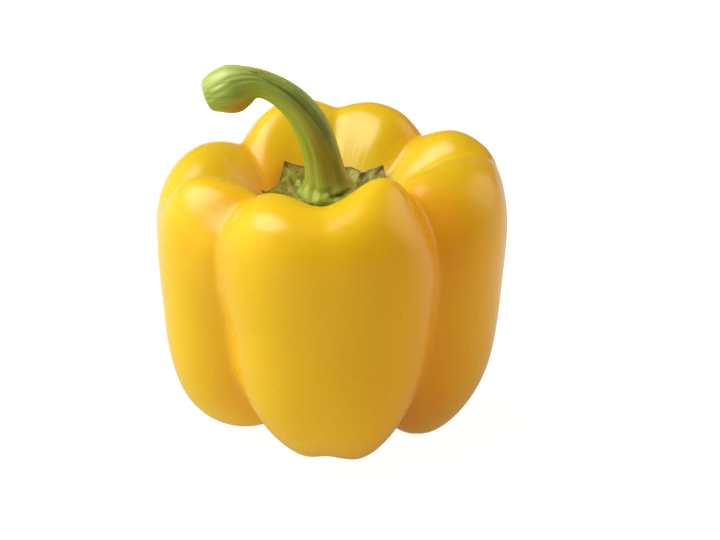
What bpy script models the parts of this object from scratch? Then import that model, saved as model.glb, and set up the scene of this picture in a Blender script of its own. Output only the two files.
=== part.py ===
"""A bell pepper with four lobes, standing upright on them, with its calyx and its curved, cut stem.

Three solids: fruit, calyx and stem. The scene is in metres, +Z up, with its origin on the surface that the
pepper stands on, under the middle of its box. Lengths below are in millimetres and angles in degrees, and
they are measured from the fruit's axis. Azimuth 0 points along +X, and 270 towards the lobe called the
front one.
"""

import math
from collections import namedtuple

import bpy
import numpy as np
from mathutils import Vector

MM = 0.001
FULL_TURN = 360.0

# The outline of one lobe, from the blossom end under the fruit, round the foot, up the side, over the
# shoulder and down the hollow that holds the calyx. Each station is (distance from the axis, height).
OUTLINE = {
    "blossom end": (0.0, 11.0),
    "inner foot": (12.0, 5.0),
    "foot": (23.5, -0.3),
    "outer foot": (35.0, 9.0),
    "low side": (41.3, 25.0),
    "belly": (43.5, 43.0),
    "high side": (44.2, 60.0),
    "outer shoulder": (39.0, 72.5),
    "shoulder": (27.5, 77.5),
    "hollow wall": (17.0, 69.0),
    "calyx seat": (9.0, 62.5),
    "hollow floor": (0.0, 61.5),
}
STATIONS = list(OUTLINE)

# How each hump differs from that outline: how far its side reaches out, how far its shoulder rises and
# stands out, how far its foot moves out and up, and how much fuller its outer shoulder is, which swells
# out and up by CROWN_OUT and CROWN_UP of that. Two humps make a lobe.
Hump = namedtuple("Hump", "azimuth reach rise lip foot_out foot_up crown")
HUMPS = [
    # right lobe, its far hump
    Hump(30.0, 0.5, 0.7, 4.5, 0.0, 0.4, 0.4),
    # back lobe
    Hump(68.0, 0.5, 1.3, 1.0, 0.0, 0.4, 0.0),
    Hump(110.0, 0.0, 2.0, 1.2, 0.0, 0.4, 0.0),
    # left lobe
    Hump(160.0, -0.4, -2.5, 1.8, 1.0, 0.9, 0.0),
    Hump(202.0, 0.0, -2.2, 3.0, 1.0, 5.0, 0.0),
    # front lobe, with the saddle between its two humps
    Hump(236.0, 0.0, 0.3, 0.0, -3.5, 2.0, 2.0),
    Hump(268.0, 0.5, -3.4, -0.5, -3.5, 2.0, 3.5),
    Hump(303.0, 0.0, 3.8, 0.0, -3.6, -0.2, -1.0),
    # right lobe, its near hump
    Hump(343.0, 0.5, -1.5, 1.0, 0.0, 0.4, 1.2),
]
CROWN_OUT = 0.4
CROWN_UP = 0.9

# How far each station follows a hump's reach, rise, lip, foot_out, foot_up and crown.
HUMP_SHARES = {
    "blossom end": (0, 0, 0, 0, 0, 0),
    "inner foot": (0, 0, 0, 0.5, 0.5, 0),
    "foot": (0, 0, 0, 1, 1, 0),
    "outer foot": (0.5, 0, 0, 0.6, 0.5, 0),
    "low side": (1, 0, 0, 0.2, 0, 0),
    "belly": (1, 0, 0, 0, 0, 0),
    "high side": (1, 0.4, 0, 0, 0, 0.3),
    "outer shoulder": (0.7, 0.8, 0.5, 0, 0, 1),
    "shoulder": (0, 1, 1, 0, 0, 0),
    "hollow wall": (0, 0.5, 0.5, 0, 0, 0),
    "calyx seat": (0, 0, 0, 0, 0, 0),
    "hollow floor": (0, 0, 0, 0, 0, 0),
}

# The furrows between the humps: where each one runs down the side, how far it turns towards the foot and
# towards the calyx, how deep it is there, as a factor of FURROW_DEPTH, and its half-width. The four deep
# ones part the lobes, and the shallow ones part a lobe's two humps.
Furrow = namedtuple("Furrow", "azimuth foot_turn calyx_turn at_foot at_side at_shoulder width")
FURROWS = [
    Furrow(8.0, 0.0, 6.0, 0.3, 0.0, 0.45, 18.0),
    Furrow(47.0, 0.0, -12.0, 1.0, 1.0, 1.0, 30.0),
    Furrow(87.0, 0.0, 0.0, 0.3, 0.2, 0.4, 20.0),
    Furrow(129.0, 0.0, 27.0, 1.0, 1.0, 1.0, 30.0),
    Furrow(185.0, 0.0, 0.0, 0.2, 0.1, 0.6, 18.0),
    Furrow(226.0, 6.0, 0.0, 1.2, 1.3, 0.9, 30.0),
    Furrow(269.0, 0.0, 0.0, 0.1, 0.0, 0.2, 24.0),
    Furrow(316.0, 5.0, 10.0, 1.3, 1.4, 1.35, 34.0),
]
FURROW_DEPTH = {
    "blossom end": 0.0,
    "inner foot": 4.0,
    "foot": 8.0,
    "outer foot": 7.5,
    "low side": 6.0,
    "belly": 5.0,
    "high side": 5.5,
    "outer shoulder": 6.5,
    "shoulder": 6.0,
    "hollow wall": 2.5,
    "calyx seat": 0.5,
    "hollow floor": 0.0,
}
FURROW_SOFTNESS = 2.0
FURROW_FLANK_POWER = 2
FOOT_TURN_POWER = 2
CALYX_TURN_POWER = 3

# Furrows press in towards a ring inside the fruit, which draws in to the axis where the outline does.
CORE_REACH = 21.0
CORE_HEIGHT = 42.0

# The feet are flat where they bear, at this height in the outline.
STANDING_LEVEL = 2.2

# The fruit's grid of points. Its columns follow the furrows and are closest together there, and its rows
# start and end this part of a station short of the axis.
COLUMNS_PER_FURROW = 10
COLUMN_CROWDING = 0.5
ROWS_PER_STATION = 3
END_STATION = 0.3

# The calyx lies in the hollow. Its margin has pointed teeth, whose tips reach past it, in stations, and
# rise off the fruit. The one that falls short of it is a worn, blunt place.
Tooth = namedtuple("Tooth", "azimuth reach rise")
TEETH = [
    Tooth(37.0, 0.16, 1.2),
    Tooth(67.0, -0.06, 0.0),
    Tooth(135.0, 0.14, 1.4),
    Tooth(190.0, 0.12, 0.7),
    Tooth(240.0, 0.20, 0.3),
    Tooth(290.0, 0.20, 0.3),
    Tooth(343.0, 0.20, 0.5),
]
TOOTH_HALF_WIDTH = 20.0
TOOTH_SHARPNESS = 1.7
CALYX_MARGIN_STATION = 9.35
CALYX_INNER_STATION = 10.75
CALYX_GAP = 0.5
CALYX_MIDDLE_THICKNESS = 1.7
CALYX_MARGIN_THICKNESS = 0.8
CALYX_RIB_HEIGHT = 0.7
CALYX_RIB_HALF_WIDTH = 11.0
CALYX_TOP = 64.2
STEM_SEAT_REACH = 7.6
STEM_SEAT_EDGE = 2.5
TIP_CURL_START = 0.55
COLUMNS_PER_TOOTH = 8
CALYX_UNDER_ROWS = 6
CALYX_TOP_ROWS = 7

# The stem's middle line lies in the XZ plane. Each station is (across, height, radius). Its ribs stand out
# by a share of the radius.
STEM_GAP = 0.35
STEM = {
    "foot": (-0.3, CALYX_TOP + STEM_GAP, 6.2),
    "swollen ring": (-0.4, 65.8, 7.2),
    "above the ring": (-0.7, 68.2, 5.7),
    "root": (-1.1, 71.5, 4.9),
    "low": (-2.0, 77.0, 4.5),
    "middle": (-4.2, 83.5, 4.4),
    "high": (-7.7, 89.0, 3.9),
    "bend": (-12.3, 92.8, 3.5),
    "top": (-16.9, 94.8, 3.4),
    "neck": (-20.0, 94.4, 4.7),
    "knuckle": (-23.2, 93.3, 5.9),
    "behind the cut": (-26.5, 92.8, 5.2),
    "cut": (-29.6, 91.7, 4.0),
}
STEM_RIBS = 6
STEM_RIB_SHARE = 0.055
STEM_COLUMNS = 30
STEM_ROWS_PER_STATION = 3

COLOURS = {
    "fruit": (0.83, 0.52, 0.03),
    "calyx": (0.16, 0.15, 0.03),
    "stem": (0.27, 0.36, 0.07),
}
ROUGHNESS = {"fruit": 0.22, "calyx": 0.6, "stem": 0.5}


def closed_spline(knots, values, at, period):
    """The smooth closed curve through values at knots, read at the places given.

    The last axis of values runs over the knots. Slope and curvature are continuous all round.
    """
    knots = np.asarray(knots, float)
    values = np.asarray(values, float)
    count = len(knots)
    gap = np.diff(np.append(knots, knots[0] + period))
    rows = np.zeros((count, count))
    bends = np.zeros((count, count))
    for i in range(count):
        before, after = i - 1, (i + 1) % count
        rows[i, before] += gap[before]
        rows[i, i] += 2 * (gap[before] + gap[i])
        rows[i, after] += gap[i]
        bends[i, before] += 6 / gap[before]
        bends[i, i] -= 6 / gap[before] + 6 / gap[i]
        bends[i, after] += 6 / gap[i]
    second = values @ np.linalg.solve(rows, bends).T
    at = (np.asarray(at, float) - knots[0]) % period + knots[0]
    left = np.clip(np.searchsorted(knots, at, side="right") - 1, 0, count - 1)
    right = (left + 1) % count
    b = (at - knots[left]) / gap[left]
    a = 1 - b

    def pick(table, index):
        table = np.broadcast_to(table, at.shape + (count,))
        return np.take_along_axis(table, index[..., None], -1)[..., 0]

    bend = (a**3 - a) * pick(second, left) + (b**3 - b) * pick(second, right)
    return a * pick(values, left) + b * pick(values, right) + bend * gap[left] ** 2 / 6


def mirrored_spline(values, at, sign=1):
    """The smooth curve through values at 0, 1, 2 and so on, going on past both ends as its mirror image."""
    there = np.asarray(values, float)
    both_ways = np.concatenate([there, sign * there[..., -2:0:-1]], -1)
    count = both_ways.shape[-1]
    return closed_spline(np.arange(count), both_ways, at, count)


def open_curve(knots, values, at):
    """A smooth curve through values at knots: a cubic with the slope of its neighbours at each knot."""
    slope = np.gradient(values, knots)
    left = np.clip(np.searchsorted(knots, at, side="right") - 1, 0, len(knots) - 2)
    gap = knots[left + 1] - knots[left]
    t = (at - knots[left]) / gap
    return (
        values[left] * (1 + 2 * t) * (1 - t) ** 2
        + slope[left] * gap * t * (1 - t) ** 2
        + values[left + 1] * t**2 * (3 - 2 * t)
        + slope[left + 1] * gap * t**2 * (t - 1)
    )


def away_from(centre, azimuth):
    """The angle from centre to azimuth, the shorter way round."""
    return (azimuth - centre + FULL_TURN / 2) % FULL_TURN - FULL_TURN / 2


def outline_at(azimuth, station):
    """(distance from the axis, height) of the fruit before its furrows are pressed in."""
    places, *changes = zip(*HUMPS)
    changes = [closed_spline(places, change, azimuth, FULL_TURN) for change in changes]
    reach, rise, lip, foot_out, foot_up, crown = changes
    outward, upward = [], []
    for name, (out, up) in OUTLINE.items():
        to_reach, to_rise, to_lip, to_out, to_up, to_crown = HUMP_SHARES[name]
        fuller = to_crown * crown
        outward.append(out + to_reach * reach + to_lip * lip + to_out * foot_out + CROWN_OUT * fuller)
        upward.append(up + to_rise * rise + to_up * foot_up + CROWN_UP * fuller)
    outward = mirrored_spline(np.stack(outward, -1), station, -1)
    upward = mirrored_spline(np.stack(upward, -1), station)
    return outward, upward


def furrow_azimuths(station):
    """The azimuth of each furrow at a station; the last axis runs over the furrows."""
    belly = STATIONS.index("belly")
    foot = STATIONS.index("inner foot")
    wall = STATIONS.index("hollow wall")
    to_foot = np.clip((belly - station) / (belly - foot), 0, 1)
    to_calyx = np.clip((station - belly) / (wall - belly), 0, 1)
    found = []
    for furrow in FURROWS:
        at_foot = furrow.foot_turn * to_foot**FOOT_TURN_POWER
        at_calyx = furrow.calyx_turn * to_calyx**CALYX_TURN_POWER
        found.append(furrow.azimuth + at_foot + at_calyx)
    return np.stack(found, -1)


def furrow_depth(azimuth, station):
    """How deep the furrows press into the outline."""
    depth = np.maximum(mirrored_spline(list(FURROW_DEPTH.values()), station), 0)
    heights = [STATIONS.index(name) for name in ("foot", "belly", "shoulder")]
    centres = furrow_azimuths(station)
    total = np.zeros_like(azimuth)
    for i, furrow in enumerate(FURROWS):
        away = away_from(centres[..., i], azimuth)
        softened = np.sqrt(away**2 + FURROW_SOFTNESS**2) - FURROW_SOFTNESS
        flank = np.maximum(1 - softened / furrow.width, 0) ** FURROW_FLANK_POWER
        strengths = [furrow.at_foot, furrow.at_side, furrow.at_shoulder]
        total += np.interp(station, heights, strengths) * flank
    return depth * total


def fruit_point(azimuth, station, lift=0.0):
    """Points of the fruit's surface, lifted off it by a distance, as an array (..., 3)."""
    out, up = outline_at(azimuth, station)
    core = CORE_REACH * (1 - np.exp(-out / CORE_REACH))
    length = np.hypot(out - core, up - CORE_HEIGHT)
    off = lift - furrow_depth(azimuth, station)
    moved = out + off * (out - core) / length
    up = up + off * (up - CORE_HEIGHT) / length
    angle = np.radians(azimuth)
    return np.stack([moved * np.cos(angle), moved * np.sin(angle), up], -1)


def crowded_columns(places, per_place):
    """Azimuths all round, per_place of them from each place to the next, closest together at the places.

    The last axis of places runs over them.
    """
    spans = np.diff(places, axis=-1, append=places[..., :1] + FULL_TURN)
    share = np.arange(per_place) / per_place
    share = share - COLUMN_CROWDING * np.sin(2 * math.pi * share) / (2 * math.pi)
    columns = places[..., None] + spans[..., None] * share
    return columns.reshape(*places.shape[:-1], -1)


def fruit_rows():
    """The fruit's rings of points, from the blossom end to the hollow's floor."""
    last = len(STATIONS) - 1
    station = np.linspace(END_STATION, last - END_STATION, ROWS_PER_STATION * last)
    azimuth = crowded_columns(furrow_azimuths(station), COLUMNS_PER_FURROW)
    rows = fruit_point(azimuth, np.broadcast_to(station[:, None], azimuth.shape))
    rows[..., 2] = np.maximum(rows[..., 2], STANDING_LEVEL)
    return rows


def calyx_rows():
    """The calyx's rings of points, out along its underside and back over its top."""
    azimuth = crowded_columns(np.array([tooth.azimuth for tooth in TEETH]), COLUMNS_PER_TOOTH)
    reach, curl, rib = (np.zeros_like(azimuth) for _ in range(3))
    for tooth in TEETH:
        away = np.abs(away_from(tooth.azimuth, azimuth))
        near = np.maximum(1 - away / TOOTH_HALF_WIDTH, 0) ** TOOTH_SHARPNESS
        reach += tooth.reach * near
        curl += tooth.rise * near
        rib += np.maximum(1 - away / CALYX_RIB_HALF_WIDTH, 0)
    margin = CALYX_MARGIN_STATION - reach

    def ring(share, on_top):
        """One ring, at a share of the way from the middle to the margin."""
        station = CALYX_INNER_STATION + share * (margin - CALYX_INNER_STATION)
        curl_share = max(share - TIP_CURL_START, 0) / (1 - TIP_CURL_START)
        points = fruit_point(azimuth, station, CALYX_GAP)
        points[:, 2] += curl * curl_share**2
        if on_top:
            thickness = CALYX_MIDDLE_THICKNESS + share * (CALYX_MARGIN_THICKNESS - CALYX_MIDDLE_THICKNESS)
            thickness = thickness + CALYX_RIB_HEIGHT * rib * math.sin(math.pi * share)
            from_seat = (np.hypot(points[:, 0], points[:, 1]) - STEM_SEAT_REACH) / STEM_SEAT_EDGE
            outside = np.clip(from_seat, 0, 1)
            points[:, 2] = CALYX_TOP * (1 - outside) + (points[:, 2] + thickness) * outside
        return points

    under = [ring(share, False) for share in np.linspace(0, 1, CALYX_UNDER_ROWS)]
    top = [ring(share, True) for share in np.linspace(1, 0, CALYX_TOP_ROWS)]
    return np.array(under + top)


def stem_rows():
    """The stem's rings of points, from its foot on the calyx to its cut end."""
    stations = np.array(list(STEM.values()))
    last = len(stations) - 1
    places = np.linspace(0, last, STEM_ROWS_PER_STATION * last + 1)
    along = np.arange(last + 1)
    across, height, radius = (open_curve(along, column, places) for column in stations.T)
    run = np.gradient(across, places)
    climb = np.gradient(height, places)
    run[0] = 0.0
    length = np.hypot(run, climb)
    turn = np.arange(STEM_COLUMNS) / STEM_COLUMNS * 2 * math.pi
    ribbed = 1 + STEM_RIB_SHARE * np.cos(STEM_RIBS * turn)
    rows = []
    for x, z, r, dx, dz in zip(across, height, radius, run / length, climb / length):
        side = r * ribbed * np.cos(turn)
        depth = r * ribbed * np.sin(turn)
        rows.append(np.stack([x + side * dz, depth, z - side * dx], -1))
    return np.array(rows)


def solid_of_rows(name, rows):
    """A closed solid from rings of points, each running anticlockwise about the way to the next ring."""
    rings, around = rows.shape[:2]
    points = [tuple(p) for p in rows.reshape(-1, 3)]
    ends = [tuple(rows[0].mean(axis=0)), tuple(rows[-1].mean(axis=0))]
    points += ends
    faces = []
    for c in range(around):
        n = (c + 1) % around
        faces.append((len(points) - 2, n, c))
        for r in range(0, (rings - 1) * around, around):
            faces.append((r + c, r + n, r + around + n, r + around + c))
        top = (rings - 1) * around
        faces.append((top + c, top + n, len(points) - 1))
    mesh = bpy.data.meshes.new(name)
    mesh.from_pydata([Vector(p) * MM for p in points], [], faces)
    mesh.shade_smooth()
    mesh.materials.append(plain_material(name))
    solid = bpy.data.objects.new(name, mesh)
    bpy.context.scene.collection.objects.link(solid)
    return solid


def plain_material(name):
    material = bpy.data.materials.new(name)
    material.use_nodes = True
    shader = material.node_tree.nodes["Principled BSDF"]
    shader.inputs["Base Color"].default_value = (*COLOURS[name], 1.0)
    shader.inputs["Roughness"].default_value = ROUGHNESS[name]
    shader.inputs["Metallic"].default_value = 0.0
    return material


def clear_scene():
    for obj in list(bpy.data.objects):
        bpy.data.objects.remove(obj)


def main():
    clear_scene()
    rows = {"fruit": fruit_rows(), "calyx": calyx_rows(), "stem": stem_rows()}
    everything = np.concatenate([r.reshape(-1, 3) for r in rows.values()])
    middle = (everything.min(axis=0) + everything.max(axis=0)) / 2
    middle[2] = STANDING_LEVEL
    for name, rings in rows.items():
        solid_of_rows(name, rings - middle)


main()
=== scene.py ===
"""The looks of a yellow bell pepper: its waxy skin, its toothed calyx and its curved, cut stem.

The three pieces keep the forms of the plain model on a much finer grid, and add what is too fine for it:
the skin's slight unevenness, the ribs, lumps and curled tips of the calyx, and the stem's fine grooves,
lumpy foot and cut face. Lengths are in millimetres and angles in degrees, unless a name or a comment says
otherwise. They are measured from the fruit's axis: azimuth 0 points along +X, and 270 towards the camera.
"""

import math
from collections import namedtuple

import bpy
import numpy as np
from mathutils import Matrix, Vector, noise


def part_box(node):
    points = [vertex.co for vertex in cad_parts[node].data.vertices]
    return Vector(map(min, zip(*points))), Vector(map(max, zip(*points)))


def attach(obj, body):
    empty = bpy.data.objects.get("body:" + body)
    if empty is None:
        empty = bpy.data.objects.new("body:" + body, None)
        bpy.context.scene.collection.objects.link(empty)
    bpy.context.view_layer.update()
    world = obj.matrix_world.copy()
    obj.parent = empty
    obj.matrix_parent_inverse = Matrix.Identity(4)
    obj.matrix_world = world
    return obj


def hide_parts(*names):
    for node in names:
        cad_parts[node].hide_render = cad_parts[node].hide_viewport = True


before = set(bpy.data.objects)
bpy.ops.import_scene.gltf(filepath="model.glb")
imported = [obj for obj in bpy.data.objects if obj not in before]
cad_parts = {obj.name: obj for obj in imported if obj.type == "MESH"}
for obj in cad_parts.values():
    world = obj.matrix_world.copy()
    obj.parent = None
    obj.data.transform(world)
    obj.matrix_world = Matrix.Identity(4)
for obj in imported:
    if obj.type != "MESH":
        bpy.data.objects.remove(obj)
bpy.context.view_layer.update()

MM = 0.001
FULL_TURN = 360.0
BODY = "root"

# The outline of one lobe, from the blossom end under the fruit, round the foot, up the side, over the
# shoulder and down the hollow that holds the calyx. Each station is (distance from the axis, height).
OUTLINE = {
    "blossom end": (0.0, 11.0),
    "inner foot": (12.0, 5.0),
    "foot": (23.5, -0.3),
    "outer foot": (35.0, 9.0),
    "low side": (41.3, 25.0),
    "belly": (43.5, 43.0),
    "high side": (44.2, 60.0),
    "outer shoulder": (39.0, 72.5),
    "shoulder": (27.5, 77.5),
    "hollow wall": (17.0, 69.0),
    "calyx seat": (9.0, 62.5),
    "hollow floor": (0.0, 61.5),
}
STATIONS = list(OUTLINE)
STANDING_LEVEL = 2.2

# How each hump differs from that outline. Two humps make a lobe. The crown is a fuller outer shoulder.
Hump = namedtuple("Hump", "azimuth reach rise lip foot_out foot_up crown")
HUMPS = [
    Hump(30.0, 0.5, 0.7, 4.5, 0.0, 0.4, 0.4),
    Hump(68.0, 0.5, 1.3, 1.0, 0.0, 0.4, 0.0),
    Hump(110.0, 0.0, 2.0, 1.2, 0.0, 0.4, 0.0),
    Hump(160.0, -0.4, -2.5, 1.8, 1.0, 0.9, 0.0),
    Hump(202.0, 0.0, -2.2, 3.0, 1.0, 5.0, 0.0),
    Hump(236.0, 0.0, 0.3, 0.0, -3.5, 2.0, 2.0),
    Hump(268.0, 0.5, -3.4, -0.5, -3.5, 2.0, 3.5),
    Hump(303.0, 0.0, 3.8, 0.0, -3.6, -0.2, -1.0),
    Hump(343.0, 0.5, -1.5, 1.0, 0.0, 0.4, 1.2),
]

# How far each station follows a hump's reach, rise, lip, foot_out, foot_up and crown.
HUMP_SHARES = {
    "blossom end": (0, 0, 0, 0, 0, 0),
    "inner foot": (0, 0, 0, 0.5, 0.5, 0),
    "foot": (0, 0, 0, 1, 1, 0),
    "outer foot": (0.5, 0, 0, 0.6, 0.5, 0),
    "low side": (1, 0, 0, 0.2, 0, 0),
    "belly": (1, 0, 0, 0, 0, 0),
    "high side": (1, 0.4, 0, 0, 0, 0.3),
    "outer shoulder": (0.7, 0.8, 0.5, 0, 0, 1),
    "shoulder": (0, 1, 1, 0, 0, 0),
    "hollow wall": (0, 0.5, 0.5, 0, 0, 0),
    "calyx seat": (0, 0, 0, 0, 0, 0),
    "hollow floor": (0, 0, 0, 0, 0, 0),
}

CROWN_OUT = 0.4
CROWN_UP = 0.9

# The furrows between the humps, with their depth as a factor of FURROW_DEPTH, and their half-width. The
# four deep ones part the lobes, and the shallow ones part a lobe's two humps.
Furrow = namedtuple("Furrow", "azimuth foot_turn calyx_turn at_foot at_side at_shoulder width")
FURROWS = [
    Furrow(8.0, 0.0, 6.0, 0.3, 0.0, 0.45, 18.0),
    Furrow(47.0, 0.0, -12.0, 1.0, 1.0, 1.0, 30.0),
    Furrow(87.0, 0.0, 0.0, 0.3, 0.2, 0.4, 20.0),
    Furrow(129.0, 0.0, 27.0, 1.0, 1.0, 1.0, 30.0),
    Furrow(185.0, 0.0, 0.0, 0.2, 0.1, 0.6, 18.0),
    Furrow(226.0, 6.0, 0.0, 1.2, 1.3, 0.9, 30.0),
    Furrow(269.0, 0.0, 0.0, 0.1, 0.0, 0.2, 24.0),
    Furrow(316.0, 5.0, 10.0, 1.3, 1.4, 1.35, 34.0),
]
FURROW_DEPTH = {
    "blossom end": 0.0,
    "inner foot": 4.0,
    "foot": 8.0,
    "outer foot": 7.5,
    "low side": 6.0,
    "belly": 5.0,
    "high side": 5.5,
    "outer shoulder": 6.5,
    "shoulder": 6.0,
    "hollow wall": 2.5,
    "calyx seat": 0.5,
    "hollow floor": 0.0,
}
FURROW_SOFTNESS = 2.0
FURROW_FLANK_POWER = 2
FOOT_TURN_POWER = 2
CALYX_TURN_POWER = 3
CORE_REACH = 21.0
CORE_HEIGHT = 42.0

# The fruit's grid of points, and the slight unevenness of its skin: (size, height) of each kind of swell.
# The whole skin is sunk a little, so that the swells don't make the fruit larger.
COLUMNS_PER_FURROW = 34
COLUMN_CROWDING = 0.5
ROWS_PER_STATION = 26
END_STATION = 0.04
SWELLS = [(26.0, 0.35), (11.0, 0.1)]
SKIN_SUNK = 0.35

# Places where the skin swells or sinks a little more, and faint ripples at the shoulders: where each one is,
# its size and its height. Azimuths are in degrees, and a station is a place in OUTLINE, counted from 0. A
# ripple also has a width from crest to crest, round the fruit. Its crests wander by a share of that width.
Bulge = namedtuple("Bulge", "azimuth station azimuth_size station_size height")
BULGES = [
    Bulge(55.0, 8.6, 13.0, 0.55, 1.5),
    Bulge(86.0, 8.6, 5.0, 0.7, -0.5),
    Bulge(56.0, 7.8, 10.0, 0.6, 0.7),
    Bulge(202.0, 7.4, 7.0, 0.6, 0.5),
    Bulge(223.0, 7.05, 7.0, 0.6, -1.1),
    Bulge(272.0, 7.7, 12.0, 0.5, 0.7),
    Bulge(224.0, 6.5, 6.0, 0.9, 1.2),
    Bulge(9.0, 7.0, 10.0, 0.5, 1.3),
    Bulge(12.0, 8.4, 7.0, 0.5, -0.8),
    Bulge(338.0, 8.5, 13.0, 0.6, 1.8),
]
Ripple = namedtuple("Ripple", "azimuth station azimuth_size station_size height crest")
RIPPLES = [
    Ripple(311.0, 7.5, 7.0, 0.5, 0.10, 2.6),
    Ripple(356.0, 7.4, 13.0, 0.5, 0.14, 3.4),
    Ripple(62.0, 9.0, 14.0, 0.35, 0.12, 5.0),
]
RIPPLE_WANDER = 0.32
RIPPLE_WANDER_SIZE = 4.0

# Patches of painted shade on the skin: orange ones in the hollow round the calyx and in the crease on the
# front right, and darker ones on some tops and low on the right.
Tint = namedtuple("Tint", "kind azimuth station azimuth_size station_size strength")
TINTS = [
    Tint("orange", 165.0, 9.4, 42.0, 0.8, 0.9),
    Tint("orange", 230.0, 9.4, 30.0, 0.6, 0.6),
    Tint("orange", 322.0, 6.6, 8.0, 1.2, 0.35),
    Tint("orange", 320.0, 2.2, 16.0, 1.6, 1.0),
    Tint("painted_shade", 175.0, 7.9, 24.0, 0.6, 0.2),
    Tint("painted_shade", 347.0, 7.6, 22.0, 0.9, 0.35),
    Tint("painted_shade", 25.0, 7.2, 24.0, 0.8, 0.5),
    Tint("painted_shade", 66.0, 7.6, 24.0, 0.8, 0.35),
    Tint("painted_shade", 322.0, 1.8, 24.0, 1.4, 0.5),
    Tint("painted_shade", 355.0, 2.4, 30.0, 1.6, 0.25),
]
TINT_KINDS = ("orange", "painted_shade")

# The calyx and its pointed teeth. Each tooth reaches past the margin by this part of a station, and its tip
# rises. The ones that fall short of the margin are worn, blunt places.
Tooth = namedtuple("Tooth", "azimuth reach rise")
TEETH = [
    Tooth(37.0, 0.20, 1.8),
    Tooth(53.0, -0.10, 0.0),
    Tooth(72.0, -0.03, 0.0),
    Tooth(135.0, 0.16, 1.6),
    Tooth(190.0, 0.20, 1.0),
    Tooth(240.0, 0.20, 0.3),
    Tooth(290.0, 0.20, 0.3),
    Tooth(343.0, 0.20, 0.5),
]
TOOTH_HALF_WIDTH = 20.0
TOOTH_SHARPNESS = 1.7
CALYX_MARGIN_STATION = 9.35
CALYX_INNER_STATION = 10.75
CALYX_GAP = 0.5
CALYX_MIDDLE_THICKNESS = 1.7
CALYX_MARGIN_THICKNESS = 0.35
CALYX_RIB_HEIGHT = 1.0
CALYX_RIB_WIDTH = 6.25
CALYX_RIB_TIP_WIDTH = 2.5
CALYX_RIB_WANDER = 5.0
CALYX_WANDER_SIZE = 5.0
CALYX_SIDE_RIBS = 19
CALYX_SIDE_RIB_HEIGHT = 0.28
CALYX_SIDE_RIB_WANDER = 0.9
CALYX_RELIEF_POWER = 0.7
CALYX_RAISED_MARGIN = 0.25
CALYX_RAISED_MARGIN_POWER = 6
CALYX_TOP = 64.2
STEM_SEAT_REACH = 7.6
STEM_SEAT_EDGE = 2.5
TIP_CURL_START = 0.55
TIP_CURL_POWER = 2

# The lumps of its top, as (size, height), and which part of the lumps lies above its plain surface.
CALYX_LUMPS = (3.2, 1.1)
CALYX_LUMP_LEVEL = 0.6
CALYX_FINE_LUMPS = (0.8, 0.2)

COLUMNS_PER_TOOTH = 60
CALYX_UNDER_ROWS = 20
CALYX_TOP_ROWS = 90

# The stem's middle line lies in the XZ plane. Each station is (across, height, radius).
STEM = {
    "sunk foot": (-0.3, 62.6, 6.4),
    "foot": (-0.3, 64.55, 6.6),
    "swollen ring": (-0.4, 65.8, 7.0),
    "above the ring": (-0.7, 68.2, 5.7),
    "root": (-1.1, 71.5, 4.9),
    "low": (-2.0, 77.0, 4.5),
    "middle": (-4.2, 83.5, 4.4),
    "high": (-7.7, 89.0, 3.9),
    "bend": (-12.3, 92.8, 3.5),
    "top": (-16.9, 94.8, 3.4),
    "neck": (-20.0, 94.4, 4.8),
    "knuckle": (-23.2, 93.4, 6.1),
    "behind the cut": (-26.4, 92.7, 5.6),
    "cut": (-28.8, 91.8, 4.5),
}
STEM_COLUMNS = 180
STEM_ROWS_PER_STATION = 14

# Over how many rows the stem's line and radius are evened out, and how many times.
STEM_SMOOTHING = 13
SMOOTHING_ROUNDS = 2

# The cut end, past its last station: (how far out, its radius as a share of the stem's) of each ring.
CUT_FACE = [(0.5, 0.95), (0.9, 0.88), (1.2, 0.78), (1.35, 0.68), (1.35, 0.58), (1.3, 0.4), (1.3, 0.15)]
CUT_FACE_FROM = 3

# The grooves along the stem: the turn of each one about it at the named stations, its depth there as a
# share of the radius, and its half-width. Turn 270 faces the camera at the foot, and 0 is the outer side of
# the bend.
GROOVE_STATIONS = ("above the ring", "low", "high", "neck", "cut")
Groove = namedtuple("Groove", "turns depths width")
STEM_GROOVES = [
    Groove((314, 312, 299, 320, 296), (0.01, 0.04, 0.10, 0.05, 0.05), 7.0),
    Groove((284, 283, 284, 302, 279), (0.02, 0.02, 0.03, 0.04, 0.05), 8.0),
    Groove((242, 240, 244, 262, 250), (0.03, 0.03, 0.02, 0.05, 0.03), 9.0),
    Groove((344, 348, 340, 350, 336), (0.04, 0.03, 0.03, 0.02, 0.03), 9.0),
    Groove((50, 46, 50, 50, 46), (0.04, 0.04, 0.05, 0.05, 0.05), 10.0),
    Groove((88, 86, 82, 80, 84), (0.04, 0.07, 0.07, 0.04, 0.05), 9.0),
    Groove((136, 130, 124, 122, 126), (0.03, 0.05, 0.04, 0.06, 0.04), 10.0),
    Groove((176, 170, 166, 172, 172), (0.03, 0.02, 0.03, 0.08, 0.05), 12.0),
]

# The fibres, as (width, length, height); the lumps of its foot, as (size, height), and the station up to
# which they reach.
STEM_FIBRES = (1.0, 12.0, 0.14)
STEM_LUMPS = (2.1, 1.1)
STEM_LUMPS_END = 3.6

# Swellings and dents of the stem's foot and knuckle: where each one is, its size and its height.
Swelling = namedtuple("Swelling", "turn station turn_size station_size height")
STEM_SWELLINGS = [
    Swelling(246.0, 2.2, 34.0, 0.75, 0.7),
    Swelling(208.0, 3.3, 16.0, 0.35, -0.35),
    Swelling(240.0, 3.1, 16.0, 0.35, -0.35),
    Swelling(268.0, 2.9, 16.0, 0.30, -0.30),
    Swelling(302.0, 2.45, 20.0, 0.22, -1.3),
    Swelling(332.0, 2.3, 26.0, 1.6, 1.9),
    Swelling(20.0, 2.3, 20.0, 0.8, 0.7),
    Swelling(60.0, 2.4, 9.0, 0.7, -0.8),
    Swelling(96.0, 2.2, 24.0, 0.8, 0.8),
    Swelling(150.0, 2.3, 22.0, 0.8, 0.6),
    Swelling(226.0, 10.9, 24.0, 0.5, 0.35),
]
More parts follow.
